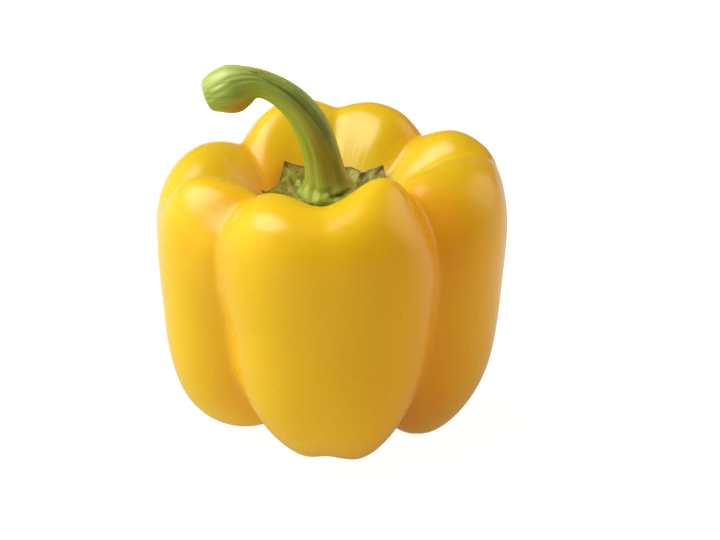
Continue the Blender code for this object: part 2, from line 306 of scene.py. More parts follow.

# Patches of colour on the stem, by kind. The darkest are painted shade, the brown under the knuckle is
# painted shade as well, and the whitish ones on the knuckle's top are a painted highlight.
Patch = namedtuple("Patch", "kind turn station turn_size station_size strength")
STEM_PATCHES = [
    Patch("olive", 312.0, 4.0, 46.0, 2.2, 1.0),
    Patch("olive", 276.0, 5.6, 22.0, 1.6, 0.8),
    Patch("olive", 95.0, 4.6, 40.0, 2.0, 0.8),
    Patch("light", 208.0, 3.4, 30.0, 1.8, 1.0),
    Patch("light", 246.0, 2.2, 30.0, 0.7, 0.9),
    Patch("light", 196.0, 7.2, 26.0, 2.0, 0.6),
    Patch("light", 20.0, 2.4, 26.0, 0.8, 0.6),
    Patch("green", 262.0, 11.4, 26.0, 1.2, 0.7),
    Patch("green", 296.0, 10.6, 12.0, 1.3, 0.5),
    Patch("green", 330.0, 9.6, 30.0, 1.0, 0.7),
    Patch("green", 330.0, 7.5, 34.0, 1.6, 0.6),
    # Painted shade: a darker line in the crease above the foot, and darker places on the front and right of
    # the stem.
    Patch("painted_stem_shade", 302.0, 7.6, 9.0, 1.3, 0.7),
    Patch("painted_stem_shade", 284.0, 6.6, 6.0, 1.2, 0.45),
    Patch("painted_stem_shade", 322.0, 5.8, 20.0, 1.8, 0.8),
    Patch("painted_stem_shade", 336.0, 8.4, 18.0, 0.9, 0.5),
    Patch("painted_stem_shade", 300.0, 2.5, 16.0, 0.22, 1.0),
    # Under the knuckle this brown is painted shade; the other two patches are the stem's own brown.
    Patch("rust_and_shade", 222.0, 10.9, 34.0, 1.1, 1.0),
    Patch("rust_and_shade", 338.0, 3.4, 16.0, 1.4, 0.7),
    Patch("rust_and_shade", 286.0, 4.6, 12.0, 1.0, 0.35),
    # Painted highlight: whitish bands on the knuckle's top.
    Patch("painted_highlight", 334.0, 11.6, 17.0, 1.5, 1.0),
    Patch("painted_highlight", 304.0, 12.2, 9.0, 0.8, 0.9),
    Patch("painted_highlight", 20.0, 11.8, 20.0, 1.2, 0.8),
    Patch("scar", 344.0, 9.1, 14.0, 0.5, 0.9),
    Patch("scar", 332.0, 9.3, 8.0, 0.3, 0.6),
    Patch("scar", 262.0, 12.55, 4.0, 0.09, 0.35),
    Patch("speck", 344.0, 8.05, 3.0, 0.05, 1.0),
]
PATCH_KINDS = ("olive", "light", "green", "painted_stem_shade", "rust_and_shade", "painted_highlight", "scar", "speck")

# The colours, from 0 to 1 in linear light. Where there are two, a noise goes from one to the other.
SKIN_YELLOW = (0.90, 0.57, 0.010), (0.89, 0.55, 0.009)
SKIN_LEMON = (0.84, 0.59, 0.009)
# Painted shade: the skin's colour deep in the furrows.
SKIN_FURROW_SHADE = (0.88, 0.47, 0.008)
# Painted shade: the orange of the hollow and the creases, and the darker colour of the patches of painted
# shade.
SKIN_ORANGE_SHADE = (0.88, 0.35, 0.012)
SKIN_PAINTED_SHADE = (0.50, 0.31, 0.006)
# Painted shade: the darker colour of the low places between the lumps.
CALYX_LOW_SHADED = (0.22, 0.16, 0.024), (0.32, 0.27, 0.036)
CALYX_HIGH = (0.33, 0.30, 0.042), (0.41, 0.41, 0.06)
CALYX_SIDE_RIB = (0.36, 0.40, 0.07)
CALYX_RIB = (0.44, 0.52, 0.10)
# Painted shade: a deep brown line along the margin, where the calyx meets the fruit.
CALYX_EDGE_SHADE = (0.16, 0.10, 0.025)
CALYX_TIP = (0.10, 0.05, 0.015)
STEM_GREEN = (0.32, 0.45, 0.09), (0.47, 0.61, 0.145)
STEM_STREAK = (0.22, 0.38, 0.06)
STEM_LIGHT = (0.46, 0.56, 0.10), (0.56, 0.66, 0.13)
STEM_OLIVE = (0.27, 0.27, 0.05), (0.40, 0.37, 0.08)
STEM_OLIVE_STREAK = (0.22, 0.24, 0.05)
STEM_DEEP_GREEN = (0.14, 0.25, 0.04)
# Painted shade: the colour of the stem's darkest places.
STEM_PAINTED_SHADE = (0.10, 0.16, 0.03)
# Brown: painted shade under the knuckle, and the stem's own brown in other places.
STEM_RUST_AND_SHADE = (0.50, 0.22, 0.05), (0.42, 0.32, 0.07)
# Painted highlight: the whitish colour of bands on the knuckle's top.
STEM_PAINTED_HIGHLIGHT = (0.54, 0.66, 0.24), (0.68, 0.78, 0.34)
# Painted shade: the darker colour deep in the grooves.
STEM_GROOVE_SHADE = (0.10, 0.17, 0.03)
STEM_SCAR = (0.20, 0.10, 0.03)
STEM_SPECK = (0.60, 0.66, 0.36)
STEM_CUT = (0.46, 0.40, 0.18), (0.30, 0.24, 0.09)

# How rough each surface is, from its smoothest to its roughest places, and the rest of its shader, with
# the scale of its subsurface scattering in metres.
SKIN_ROUGHNESS = (0.26, 0.32)
CALYX_ROUGHNESS = (0.42, 0.62)
STEM_ROUGHNESS = (0.38, 0.5)
SKIN_SURFACE = {
    "IOR": 1.42,
    "Subsurface Weight": 0.25,
    "Subsurface Radius": (1.0, 0.45, 0.08),
    "Subsurface Scale": 0.004,
    "Coat Weight": 0.3,
    "Coat Roughness": 0.14,
}
CALYX_SURFACE = {"Subsurface Weight": 0.1, "Subsurface Scale": 0.001}
STEM_SURFACE = {"Subsurface Weight": 0.1, "Subsurface Scale": 0.0015}

# Where the sockets for colours are on Blender's mix node: the share, the two colours, and the result.
MIX_COLOUR_INPUTS = (0, 6, 7)
MIX_COLOUR_OUTPUT = 2

# The light. Azimuth 0 is on the camera's side and 90 on its right. A glow is at full radiance out to its
# core, and fades to nothing at its edge; both are angles from its middle.
Glow = namedtuple("Glow", "azimuth elevation core edge radiance colour")
GLOWS = [
    Glow(-92.0, 56.0, 13.0, 32.0, 4.6, (1.0, 1.0, 0.95)),
    Glow(-95.0, 12.0, 15.0, 60.0, 1.2, (0.86, 1.0, 0.40)),
    Glow(113.0, 26.0, 8.0, 34.0, 1.9, (1.0, 0.80, 0.50)),
]
ROOM_COLOUR = (0.27, 0.19, 0.10)

# The floor, in metres: half of its side, and a hair's gap under the feet. Then its diffuse shade; its own
# glow as it is seen; as it lights the pepper from the left and from the right, within this reach of the
# middle; and as the glossy skin mirrors it, in front of the pepper and beyond it.
FLOOR_HALF_SIDE = 5.0
FLOOR_GAP = 0.0001
FLOOR_SHADE = 0.25
FLOOR_SEEN = 0.95
FLOOR_LIGHT_LEFT = (0.74, 0.79, 0.40)
FLOOR_LIGHT_RIGHT = (0.52, 0.30, 0.12)
FLOOR_LIGHT_REACH = 0.12
FLOOR_MIRRORED_NEAR = 0.05
FLOOR_MIRRORED_FAR = 0.5
FLOOR_MIRRORED_FROM = -0.08
FLOOR_MIRRORED_TO = 0.12

# Where the photograph was taken from: the view's elevation, and how far away the camera stands. The scale
# and the pixel are those of the fruit's axis at the level of its feet, in a frame of 720 by 540 pixels.
VIEW_ELEVATION = 24.0
CAMERA_DISTANCE_M = 0.8
PHOTO_WIDTH = 720
PHOTO_HEIGHT = 540
PIXELS_PER_MM = 3.88
AXIS_PIXEL = (330.0, 428.0)
SENSOR_WIDTH = 36.0


def closed_spline(knots, values, at, period):
    """The smooth closed curve through values at knots, read at the places given.

    The last axis of values runs over the knots. Slope and curvature are continuous all round.
    """
    knots = np.asarray(knots, float)
    values = np.asarray(values, float)
    count = len(knots)
    gap = np.diff(np.append(knots, knots[0] + period))
    rows = np.zeros((count, count))
    bends = np.zeros((count, count))
    for i in range(count):
        before, after = i - 1, (i + 1) % count
        rows[i, before] += gap[before]
        rows[i, i] += 2 * (gap[before] + gap[i])
        rows[i, after] += gap[i]
        bends[i, before] += 6 / gap[before]
        bends[i, i] -= 6 / gap[before] + 6 / gap[i]
        bends[i, after] += 6 / gap[i]
    second = values @ np.linalg.solve(rows, bends).T
    at = (np.asarray(at, float) - knots[0]) % period + knots[0]
    left = np.clip(np.searchsorted(knots, at, side="right") - 1, 0, count - 1)
    right = (left + 1) % count
    b = (at - knots[left]) / gap[left]
    a = 1 - b

    def pick(table, index):
        table = np.broadcast_to(table, at.shape + (count,))
        return np.take_along_axis(table, index[..., None], -1)[..., 0]

    bend = (a**3 - a) * pick(second, left) + (b**3 - b) * pick(second, right)
    return a * pick(values, left) + b * pick(values, right) + bend * gap[left] ** 2 / 6


def mirrored_spline(values, at, sign=1):
    """The smooth curve through values at 0, 1, 2 and so on, going on past both ends as its mirror image."""
    there = np.asarray(values, float)
    both_ways = np.concatenate([there, sign * there[..., -2:0:-1]], -1)
    count = both_ways.shape[-1]
    return closed_spline(np.arange(count), both_ways, at, count)


def open_curve(knots, values, at):
    """A smooth curve through values at knots: a cubic with the slope of its neighbours at each knot."""
    slope = np.gradient(values, knots)
    left = np.clip(np.searchsorted(knots, at, side="right") - 1, 0, len(knots) - 2)
    gap = knots[left + 1] - knots[left]
    t = (at - knots[left]) / gap
    return (
        values[left] * (1 + 2 * t) * (1 - t) ** 2
        + slope[left] * gap * t * (1 - t) ** 2
        + values[left + 1] * t**2 * (3 - 2 * t)
        + slope[left + 1] * gap * t**2 * (t - 1)
    )


def away_from(centre, azimuth):
    """The angle from centre to azimuth, the shorter way round."""
    return (azimuth - centre + FULL_TURN / 2) % FULL_TURN - FULL_TURN / 2


def noise_at(points, size):
    """Smooth noise from -1 to 1 at each of an array of points, with features about this size."""
    flat = points.reshape(-1, 3) / size
    values = [noise.noise(Vector(p)) for p in flat]
    return np.array(values).reshape(points.shape[:-1])


def surface_normals(rows):
    """Unit normals of a grid of rings, pointing out where its rings run anticlockwise and climb."""
    along = np.gradient(rows, axis=0)
    around = np.roll(rows, -1, axis=1) - np.roll(rows, 1, axis=1)
    normals = np.cross(around, along)
    return normals / np.maximum(np.linalg.norm(normals, axis=-1, keepdims=True), 1e-9)


def outline_at(azimuth, station):
    """(distance from the axis, height) of the fruit before its furrows are pressed in."""
    places, *changes = zip(*HUMPS)
    changes = [closed_spline(places, change, azimuth, FULL_TURN) for change in changes]
    reach, rise, lip, foot_out, foot_up, crown = changes
    outward, upward = [], []
    for name, (out, up) in OUTLINE.items():
        to_reach, to_rise, to_lip, to_out, to_up, to_crown = HUMP_SHARES[name]
        fuller = to_crown * crown
        outward.append(out + to_reach * reach + to_lip * lip + to_out * foot_out + CROWN_OUT * fuller)
        upward.append(up + to_rise * rise + to_up * foot_up + CROWN_UP * fuller)
    outward = mirrored_spline(np.stack(outward, -1), station, -1)
    upward = mirrored_spline(np.stack(upward, -1), station)
    return outward, upward


def furrow_azimuths(station):
    """The azimuth of each furrow at a station; the last axis runs over the furrows."""
    belly = STATIONS.index("belly")
    foot = STATIONS.index("inner foot")
    wall = STATIONS.index("hollow wall")
    to_foot = np.clip((belly - station) / (belly - foot), 0, 1)
    to_calyx = np.clip((station - belly) / (wall - belly), 0, 1)
    found = []
    for furrow in FURROWS:
        at_foot = furrow.foot_turn * to_foot**FOOT_TURN_POWER
        at_calyx = furrow.calyx_turn * to_calyx**CALYX_TURN_POWER
        found.append(furrow.azimuth + at_foot + at_calyx)
    return np.stack(found, -1)


def furrow_depth(azimuth, station):
    """How deep the furrows press into the outline."""
    depth = np.maximum(mirrored_spline(list(FURROW_DEPTH.values()), station), 0)
    heights = [STATIONS.index(name) for name in ("foot", "belly", "shoulder")]
    centres = furrow_azimuths(station)
    total = np.zeros_like(azimuth)
    for i, furrow in enumerate(FURROWS):
        away = away_from(centres[..., i], azimuth)
        softened = np.sqrt(away**2 + FURROW_SOFTNESS**2) - FURROW_SOFTNESS
        flank = np.maximum(1 - softened / furrow.width, 0) ** FURROW_FLANK_POWER
        strengths = [furrow.at_foot, furrow.at_side, furrow.at_shoulder]
        total += np.interp(station, heights, strengths) * flank
    return depth * total


def fruit_point(azimuth, station, lift=0.0):
    """Points of the fruit's surface, lifted off it by a distance, as an array (..., 3)."""
    out, up = outline_at(azimuth, station)
    core = CORE_REACH * (1 - np.exp(-out / CORE_REACH))
    length = np.hypot(out - core, up - CORE_HEIGHT)
    off = lift - furrow_depth(azimuth, station)
    moved = out + off * (out - core) / length
    up = up + off * (up - CORE_HEIGHT) / length
    angle = np.radians(azimuth)
    return np.stack([moved * np.cos(angle), moved * np.sin(angle), up], -1)


def crowded_columns(places, per_place):
    """Azimuths all round, per_place of them from each place to the next, closest together at the places.

    The last axis of places runs over them.
    """
    spans = np.diff(places, axis=-1, append=places[..., :1] + FULL_TURN)
    share = np.arange(per_place) / per_place
    share = share - COLUMN_CROWDING * np.sin(2 * math.pi * share) / (2 * math.pi)
    columns = places[..., None] + spans[..., None] * share
    return columns.reshape(*places.shape[:-1], -1)


def piece_of_rows(name, rows, marks):
    """A closed mesh from rings of points, each running anticlockwise about the way to the next ring.

    marks are values at the points, by name, which the material reads.
    """
    rings, around = rows.shape[:2]
    ends = np.stack([rows[0].mean(axis=0), rows[-1].mean(axis=0)])
    points = np.concatenate([rows.reshape(-1, 3), ends]) * MM
    start, end = len(points) - 2, len(points) - 1
    here = np.arange(around)
    after = (here + 1) % around
    ring = (np.arange(rings - 1) * around)[:, None]
    quads = np.stack([ring + here, ring + after, ring + around + after, ring + around + here], -1)
    last = (rings - 1) * around
    first_fan = np.stack([np.full(around, start), after, here], -1)
    last_fan = np.stack([last + here, last + after, np.full(around, end)], -1)
    faces = [*first_fan.tolist(), *quads.reshape(-1, 4).tolist(), *last_fan.tolist()]
    mesh = bpy.data.meshes.new(name)
    mesh.from_pydata(points.tolist(), [], faces)
    mesh.shade_smooth()
    for mark, values in marks.items():
        size = values.shape[2:]
        kind = "FLOAT_VECTOR" if size else "FLOAT"
        flat = values.reshape(-1, *size)
        edges = np.stack([values[0].mean(axis=0), values[-1].mean(axis=0)])
        whole = np.concatenate([flat, edges]).astype(np.float32)
        attribute = mesh.attributes.new(mark, kind, "POINT")
        attribute.data.foreach_set("vector" if size else "value", whole.ravel())
    piece = bpy.data.objects.new(name, mesh)
    bpy.context.scene.collection.objects.link(piece)
    return piece


def near_place(feature, azimuth, station):
    """From 0 to 1, how near points of the fruit are to the middle of a bulge, a ripple or a tint."""
    across = away_from(feature.azimuth, azimuth) / feature.azimuth_size
    along = (station - feature.station) / feature.station_size
    return np.exp(-(across**2) - along**2)


def fruit_rows():
    """The fruit's rings of points, with marks of each one's depth in a furrow, which sets the painted shade
    there, its station and its tints of painted shade.
    """
    last = len(STATIONS) - 1
    station = np.linspace(END_STATION, last - END_STATION, ROWS_PER_STATION * last)
    azimuth = crowded_columns(furrow_azimuths(station), COLUMNS_PER_FURROW)
    station = np.broadcast_to(station[:, None], azimuth.shape)
    rows = fruit_point(azimuth, station)
    swell = sum(height * noise_at(rows, size) for size, height in SWELLS) - SKIN_SUNK
    for bulge in BULGES:
        swell += bulge.height * near_place(bulge, azimuth, station)
    wander = RIPPLE_WANDER * noise_at(rows, RIPPLE_WANDER_SIZE)
    for ripple in RIPPLES:
        crests = away_from(ripple.azimuth, azimuth) / ripple.crest
        wave = np.sin(2 * math.pi * (crests + wander))
        swell += ripple.height * wave * near_place(ripple, azimuth, station)
    rows = rows + surface_normals(rows) * swell[..., None]
    rows[..., 2] = np.maximum(rows[..., 2], STANDING_LEVEL)
    marks = {"painted_furrow_shade": furrow_depth(azimuth, station), "station": station}
    for kind in TINT_KINDS:
        marks[kind] = np.zeros_like(azimuth)
    for tint in TINTS:
        marks[tint.kind] += tint.strength * near_place(tint, azimuth, station)
    return rows, marks


def calyx_rows():
    """The calyx's rings of points, out along its underside and back over its top, with its marks."""
    azimuth = crowded_columns(np.array([tooth.azimuth for tooth in TEETH]), COLUMNS_PER_TOOTH)
    reach, curl, tip = (np.zeros_like(azimuth) for _ in range(3))
    for tooth in TEETH:
        away = np.abs(away_from(tooth.azimuth, azimuth))
        near = np.maximum(1 - away / TOOTH_HALF_WIDTH, 0) ** TOOTH_SHARPNESS
        reach += tooth.reach * near
        curl += tooth.rise * near
        tip += near
    margin = CALYX_MARGIN_STATION - reach
    out_and_back = [np.linspace(0, 1, CALYX_UNDER_ROWS), np.linspace(1, 0, CALYX_TOP_ROWS)]
    shares = np.concatenate(out_and_back)[:, None]
    on_top = np.repeat([0.0, 1.0], [CALYX_UNDER_ROWS, CALYX_TOP_ROWS])[:, None]
    station = CALYX_INNER_STATION + shares * (margin - CALYX_INNER_STATION)
    around = np.broadcast_to(azimuth, station.shape)
    rows = fruit_point(around, station, CALYX_GAP)
    curled = np.maximum(shares - TIP_CURL_START, 0) / (1 - TIP_CURL_START)
    rows[..., 2] += curl * curled**TIP_CURL_POWER

    wander = noise_at(rows, CALYX_WANDER_SIZE)
    rib = np.zeros_like(station)
    rib_width = CALYX_RIB_WIDTH + shares * (CALYX_RIB_TIP_WIDTH - CALYX_RIB_WIDTH)
    for tooth in TEETH:
        away = away_from(tooth.azimuth, around) + CALYX_RIB_WANDER * wander * (1 - shares)
        rib = rib + np.exp(-((away / rib_width) ** 2))
    side_rib = np.cos(CALYX_SIDE_RIBS * np.radians(around) + CALYX_SIDE_RIB_WANDER * 2 * math.pi * wander)
    lump_size, lump_height = CALYX_LUMPS
    fine_size, fine_height = CALYX_FINE_LUMPS
    lump = 1 - 2 * np.abs(noise_at(rows, lump_size))
    relief = CALYX_RIB_HEIGHT * rib + CALYX_SIDE_RIB_HEIGHT * side_rib
    relief = relief + lump_height * (lump - CALYX_LUMP_LEVEL)
    relief = relief * np.sin(math.pi * shares) ** CALYX_RELIEF_POWER
    relief = relief + fine_height * noise_at(rows, fine_size)
    relief = relief + CALYX_RAISED_MARGIN * shares**CALYX_RAISED_MARGIN_POWER
    thickness = CALYX_MIDDLE_THICKNESS + shares * (CALYX_MARGIN_THICKNESS - CALYX_MIDDLE_THICKNESS)
    thickness = np.maximum(thickness + relief, CALYX_MARGIN_THICKNESS) * on_top
    from_seat = (np.hypot(rows[..., 0], rows[..., 1]) - STEM_SEAT_REACH) / STEM_SEAT_EDGE
    outside = np.maximum(np.clip(from_seat, 0, 1), 1 - on_top)
    rows[..., 2] = CALYX_TOP * (1 - outside) + (rows[..., 2] + thickness) * outside
    marks = {
        "tip": tip * shares,
        "rib": np.minimum(rib, 1) * on_top,
        "side_rib": side_rib * on_top,
        "lump": lump * on_top,
        "edge": np.broadcast_to(shares, rows.shape[:2]),
    }
    return rows, marks


def smoothed(values):
    """Values evened out with their neighbours, with both ends kept."""
    window = np.ones(STEM_SMOOTHING) / STEM_SMOOTHING
    for _ in range(SMOOTHING_ROUNDS):
        padded = np.pad(values, STEM_SMOOTHING // 2, mode="reflect", reflect_type="odd")
        values = np.convolve(padded, window, "valid")
    return values


def groove_dip(turn, place):
    """How deep the stem's grooves are, as a share of its radius."""
    names = list(STEM)
    knots = np.array([names.index(name) for name in GROOVE_STATIONS], float)
    place = np.clip(place, knots[0], knots[-1])
    dip = np.zeros(np.broadcast_shapes(turn.shape, place.shape))
    for groove in STEM_GROOVES:
        turns = np.unwrap(groove.turns, period=FULL_TURN)
        centre = open_curve(knots, turns, place)
        depth = open_curve(knots, np.array(groove.depths), place)
        dip += depth * np.exp(-((away_from(centre, turn) / groove.width) ** 2))
    return dip


def spot(patch, turn, place):
    """From 0 to 1, how near a place on the stem is to the middle of a patch or a swelling."""
    across = away_from(patch.turn, turn) / patch.turn_size
    along = (place - patch.station) / patch.station_size
    return np.exp(-(across**2) - along**2)


def stem_rows():
    """The stem's rings of points, from its foot on the calyx to its cut end, with its marks."""
    stations = np.array(list(STEM.values()))
    last = len(stations) - 1
    places = np.linspace(0, last, STEM_ROWS_PER_STATION * last + 1)
    along = np.arange(last + 1)
    across, height, radius = (smoothed(open_curve(along, column, places)) for column in stations.T)
    run = np.gradient(across, places)
    climb = np.gradient(height, places)
    run[0] = 0.0
    length = np.hypot(run, climb)
    way = np.cumsum(length) * (places[1] - places[0])
    run, climb = run / length, climb / length
    outs, shares = np.array(CUT_FACE).T
    across = np.append(across, across[-1] + outs * run[-1])
    height = np.append(height, height[-1] + outs * climb[-1])
    radius = np.append(radius, radius[-1] * shares)
    run, climb, places, way = (np.append(v, np.full(len(outs), v[-1])) for v in (run, climb, places, way))
    turn = np.arange(STEM_COLUMNS) / STEM_COLUMNS * FULL_TURN
    angle = np.radians(turn)
    place, run, climb = places[:, None], run[:, None], climb[:, None]
    dip = groove_dip(turn, place)
    side = radius[:, None] * (1 - dip) * np.cos(angle)
    depth = radius[:, None] * (1 - dip) * np.sin(angle)
    rows = np.stack([across[:, None] + side * climb, depth, height[:, None] - side * run], -1)
    grain = np.stack(np.broadcast_arrays(np.cos(angle), np.sin(angle), way[:, None]), -1)
    fibre_size, fibre_length, fibre_height = STEM_FIBRES
    typical_radius = stations[:, 2].mean()
    fibres = noise_at(grain * (typical_radius, typical_radius, fibre_size / fibre_length), fibre_size)
    lump_size, lump_height = STEM_LUMPS
    at_foot = np.clip(STEM_LUMPS_END - place, 0, 1)
    lift = fibre_height * fibres + at_foot * lump_height * noise_at(rows, lump_size)
    for swelling in STEM_SWELLINGS:
        lift = lift + swelling.height * spot(swelling, turn, place)
    on_side = np.arange(len(places)) <= last * STEM_ROWS_PER_STATION
    rows = rows + surface_normals(rows) * (lift * on_side[:, None])[..., None]
    marks = {"grain": grain, "dip": dip}
    for kind in PATCH_KINDS:
        marks[kind] = np.zeros_like(dip)
    for patch in STEM_PATCHES:
        marks[patch.kind] += patch.strength * spot(patch, turn, place)
    on_face = np.arange(len(places)) >= last * STEM_ROWS_PER_STATION + CUT_FACE_FROM
    marks["face"] = on_face[:, None] * np.ones_like(turn)
    return rows, marks


class Nodes:
    """Short ways to add the nodes of one material."""

    def __init__(self, name):
        self.material = bpy.data.materials.new(name)
        self.material.use_nodes = True
        self.tree = self.material.node_tree
        self.shader = self.tree.nodes["Principled BSDF"]

    def add(self, kind, settings=None, **inputs):
        """A node of this kind; each input is a value or another node's output."""
        node = self.tree.nodes.new(kind)
        for key, value in (settings or {}).items():
            setattr(node, key, value)
        for key, value in inputs.items():
            self.set(node.inputs[key.replace("_", " ")], value)
        return node

    def set(self, socket, value):
        if isinstance(value, bpy.types.NodeSocket):
            self.tree.links.new(value, socket)
        else:
            socket.default_value = value

    def mark(self, name, output="Fac"):
        return self.add("ShaderNodeAttribute", {"attribute_name": name}).outputs[output]

    def noise(self, size, detail=2.0, at=None, stretch=(1, 1, 1)):
        """Noise from 0 to 1, with features about this size in millimetres."""
        where = at or self.add("ShaderNodeTexCoord").outputs["Object"]
        scale = tuple(s / (size * (1 if at else MM)) for s in stretch)
        placed = self.add("ShaderNodeVectorMath", {"operation": "MULTIPLY"})
        self.set(placed.inputs[0], where)
        placed.inputs[1].default_value = scale
        made = self.add("ShaderNodeTexNoise", Scale=1.0, Detail=detail)
        self.set(made.inputs["Vector"], placed.outputs[0])
        return made.outputs["Fac"]

    def between(self, value, low, high, to_low=0.0, to_high=1.0):
        """value, where it runs from low to high, mapped smoothly to the other two."""
        node = self.add("ShaderNodeMapRange", {"interpolation_type": "SMOOTHSTEP"})
        sockets = {"Value": value, "From Min": low, "From Max": high, "To Min": to_low, "To Max": to_high}
        for key, number in sockets.items():
            self.set(node.inputs[key], number)
        return node.outputs["Result"]

    def mix(self, share, first, second):
        """The colour that goes from first to second with share."""
        node = self.add("ShaderNodeMix", {"data_type": "RGBA"})
        for index, value in zip(MIX_COLOUR_INPUTS, (share, first, second)):
            if isinstance(value, tuple):
                value = (*value, 1.0)
            self.set(node.inputs[index], value)
        return node.outputs[MIX_COLOUR_OUTPUT]

    def math(self, operation, first, second):
        node = self.add("ShaderNodeMath", {"operation": operation})
        self.set(node.inputs[0], first)
        self.set(node.inputs[1], second)
        return node.outputs[0]

    def bump(self, height, distance):
        """A bump of this many millimetres for a height from 0 to 1."""
        node = self.add("ShaderNodeBump", Height=height, Distance=distance * MM, Strength=1.0)
        return node.outputs["Normal"]

    def fix(self, values):
        """Set the shader's inputs that are the same all over the surface."""
        for name, value in values.items():
            self.shader.inputs[name].default_value = value


def skin_material():
    """The fruit's waxy skin: yellow, with painted shade that is more orange in the furrows, the hollow and a
    crease and darker in some patches, and a clear, slightly uneven gloss.
    """
    n = Nodes("pepper_skin")
    painted_furrow_shade = n.between(n.mark("painted_furrow_shade"), 0.5, 8.0)
    patch = n.between(n.noise(28.0), 0.35, 0.75)
    yellow = n.mix(patch, *SKIN_YELLOW)
    lemon = n.mix(n.between(n.mark("station"), 6.4, 8.2), yellow, SKIN_LEMON)
    # Painted shade: more orange deep in the furrows.
    base = n.mix(painted_furrow_shade, lemon, SKIN_FURROW_SHADE)
    # Painted shade: the hollow and a crease more orange, some tops and the lower right darker.
    orange_shaded = n.mix(n.mark("orange"), base, SKIN_ORANGE_SHADE)
    n.set(n.shader.inputs["Base Color"], n.mix(n.mark("painted_shade"), orange_shaded, SKIN_PAINTED_SHADE))
    n.set(n.shader.inputs["Roughness"], n.between(n.noise(6.0), 0.2, 0.8, *SKIN_ROUGHNESS))
    n.set(n.shader.inputs["Normal"], n.bump(n.noise(3.0, 0.0), 0.004))
    n.fix(SKIN_SURFACE)
    return n.material


def calyx_material():
    """The calyx: olive green, with painted shade in the low places between its lumps and along its margin,
    lighter on its ribs, and with brown tips.
    """
    n = Nodes("pepper_calyx")
    blotch = n.between(n.noise(1.6, 3.0), 0.35, 0.65)
    low = n.mix(blotch, *CALYX_LOW_SHADED)
    high = n.mix(blotch, *CALYX_HIGH)
    # Painted shade: darker in the low places between the lumps.
    green = n.mix(n.between(n.mark("lump"), 0.1, 0.9), low, high)
    green = n.mix(n.between(n.mark("side_rib"), 0.2, 1.0, 0.0, 0.45), green, CALYX_SIDE_RIB)
    ribbed = n.mix(n.between(n.mark("rib"), 0.1, 0.9), green, CALYX_RIB)
    # Painted shade: a deep brown line along the margin.
    edge_shaded = n.mix(n.between(n.mark("edge"), 0.95, 1.0, 0.0, 0.8), ribbed, CALYX_EDGE_SHADE)
    coloured = n.mix(n.between(n.mark("tip"), 0.70, 0.95), edge_shaded, CALYX_TIP)
    n.set(n.shader.inputs["Base Color"], coloured)
    n.set(n.shader.inputs["Roughness"], n.between(n.noise(1.5), 0.2, 0.8, *CALYX_ROUGHNESS))
    n.set(n.shader.inputs["Normal"], n.bump(n.noise(0.5, 3.0), 0.08))
    n.fix(CALYX_SURFACE)
    return n.material


def stem_material():
    """The stem: green with lengthways fibres and patches of other colours, with painted shade in its
    grooves, in a crease above its foot, on its front and right and under its knuckle, and a painted
    highlight on the knuckle's top.
    """
    n = Nodes("pepper_stem")
    grain = n.mark("grain", "Vector")
    fibre = n.between(n.noise(0.16, 4.0, grain, (1, 1, 0.012)), 0.3, 0.7)
    streak = n.between(n.noise(0.5, 2.0, grain, (1, 1, 0.02)), 0.35, 0.65)
    green = n.mix(fibre, *STEM_GREEN)
    green = n.mix(n.math("MULTIPLY", streak, 0.5), green, STEM_STREAK)
    green = n.mix(n.mark("light"), green, n.mix(fibre, *STEM_LIGHT))
    olive = n.mix(streak, n.mix(fibre, *STEM_OLIVE), STEM_OLIVE_STREAK)
    green = n.mix(n.mark("olive"), green, olive)
    mottle = n.between(n.noise(0.9, 3.0, grain, (1, 1, 0.1)), 0.36, 0.58, 0.2, 1.0)
    green = n.mix(n.math("MULTIPLY", n.mark("green"), mottle), green, STEM_DEEP_GREEN)
    # Painted shade: darker places on the front and right, and in the crease above the foot.
    green = n.mix(n.math("MULTIPLY", n.mark("painted_stem_shade"), mottle), green, STEM_PAINTED_SHADE)
    # Brown: painted shade under the knuckle, the stem's own brown elsewhere.
    green = n.mix(n.mark("rust_and_shade"), green, n.mix(streak, *STEM_RUST_AND_SHADE))
    # Painted highlight: whitish bands on the knuckle's top.
    green = n.mix(n.mark("painted_highlight"), green, n.mix(fibre, *STEM_PAINTED_HIGHLIGHT))
    # Painted shade: darker in the grooves.
    groove_shaded = n.mix(n.between(n.mark("dip"), 0.02, 0.11, 0.0, 0.75), green, STEM_GROOVE_SHADE)
    rough_edge = n.between(n.noise(0.5, 3.0), 0.38, 0.6)
    scarred = n.mix(n.math("MULTIPLY", n.mark("scar"), rough_edge), groove_shaded, STEM_SCAR)
    speckles = n.between(n.noise(0.35, 0.0), 0.78, 0.84, 0.0, 0.4)
    speckled = n.mix(n.math("MAXIMUM", speckles, n.mark("speck")), scarred, STEM_SPECK)
    cut = n.mix(n.between(n.noise(0.6, 3.0), 0.3, 0.7), *STEM_CUT)
    n.set(n.shader.inputs["Base Color"], n.mix(n.mark("face"), speckled, cut))
    n.set(n.shader.inputs["Roughness"], n.between(fibre, 0.0, 1.0, *STEM_ROUGHNESS))
    n.set(n.shader.inputs["Normal"], n.bump(fibre, 0.05))
    n.fix(STEM_SURFACE)
    return n.material


def add_piece(name, rows, marks, material, node):
    piece = piece_of_rows(name, rows, marks)
    piece.data.materials.append(material)
    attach(piece, BODY)
    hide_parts(node)
    return piece


